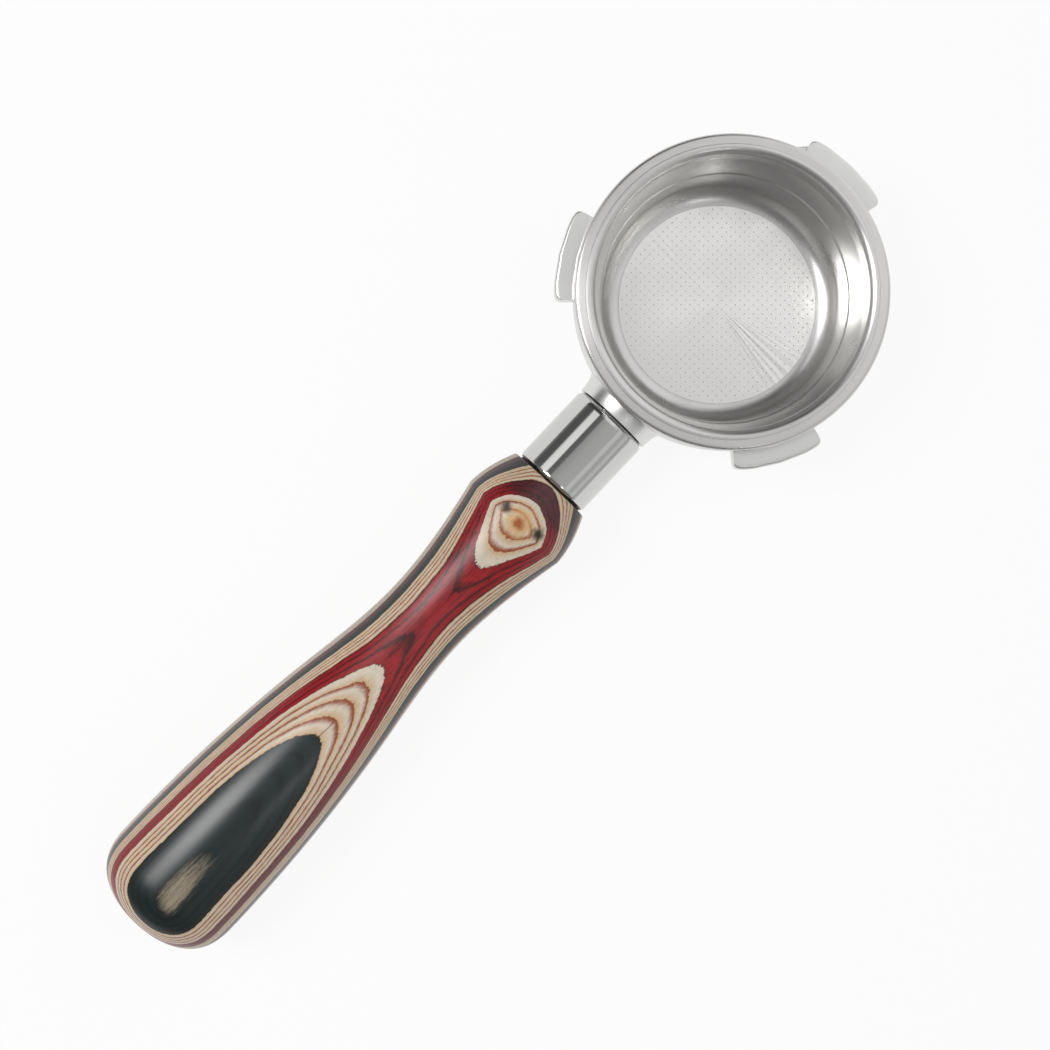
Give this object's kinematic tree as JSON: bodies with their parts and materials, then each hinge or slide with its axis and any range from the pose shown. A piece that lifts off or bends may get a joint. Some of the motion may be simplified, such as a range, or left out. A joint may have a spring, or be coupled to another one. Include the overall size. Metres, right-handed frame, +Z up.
{
  "type": "portafilter",
  "caption": "Naked portafilter: lugged steel head ring with a lift-out perforated filter basket, a polished neck and a screw-on turned handle of dyed wood veneers.",
  "frame": {"origin": "on the head axis, at the top end of the straight wall in the basket's mouth, 1.5 mm below the top of the lip", "axes": "+Z up along the head axis, out of the basket's mouth; +X along the handle, from the head to its free end"},
  "size_m": [0.2085, 0.067, 0.0301],
  "materials": {
    "satin_steel": "cast stainless steel, satin",
    "polished_steel": "stainless steel, mirror polished",
    "basket_steel": "pressed stainless sheet, spun finish",
    "wire_steel": "plain steel",
    "black_rubber": "matt black",
    "insert_brass": "turned brass",
    "wood_natural": "undyed veneer, satin lacquer",
    "wood_plum": "dyed veneer, satin lacquer",
    "wood_green": "dyed veneer, satin lacquer",
    "wood_red": "dyed veneer, satin lacquer",
    "wood_black": "dyed veneer, satin lacquer"
  },
  "bodies": {
    "head": {"head_ring": "satin_steel", "neck": "polished_steel", "basket_spring": "wire_steel", "handle_stud": "wire_steel"},
    "basket": {"filter_basket": "basket_steel", "filter_floor": "basket_steel"},
    "washer": {"neck_washer": "black_rubber"},
    "handle": {"handle_insert": "insert_brass", "veneer_core_natural": "wood_natural", "veneer_plum_upper": "wood_plum", "veneer_plum_lower": "wood_plum", "veneer_green_upper": "wood_green", "veneer_green_lower": "wood_green", "veneer_inner_natural_upper": "wood_natural", "veneer_inner_natural_lower": "wood_natural", "veneer_red_upper": "wood_red", "veneer_red_lower": "wood_red", "veneer_outer_natural_upper": "wood_natural", "veneer_outer_natural_lower": "wood_natural", "veneer_black_upper": "wood_black", "veneer_black_lower": "wood_black"}
  },
  "joints": [
    {"name": "basket_lift", "type": "slide", "parent": "head", "child": "basket", "axis": [0, 0, 1], "range_m": [0, 0.04]},
    {"name": "handle_draw", "type": "slide", "parent": "head", "child": "washer", "axis": [1, 0, 0], "range_m": [0, 0.015]},
    {"name": "handle_turn", "type": "hinge", "parent": "washer", "child": "handle", "pos_m": [0.052, 0, -0.0113], "axis": [1, 0, 0], "range_deg": [0, 3600]}
  ],
  "couplings": [
    {"joint": "handle_turn", "follows": "handle_draw", "rad_per_m": 4188.8}
  ]
}
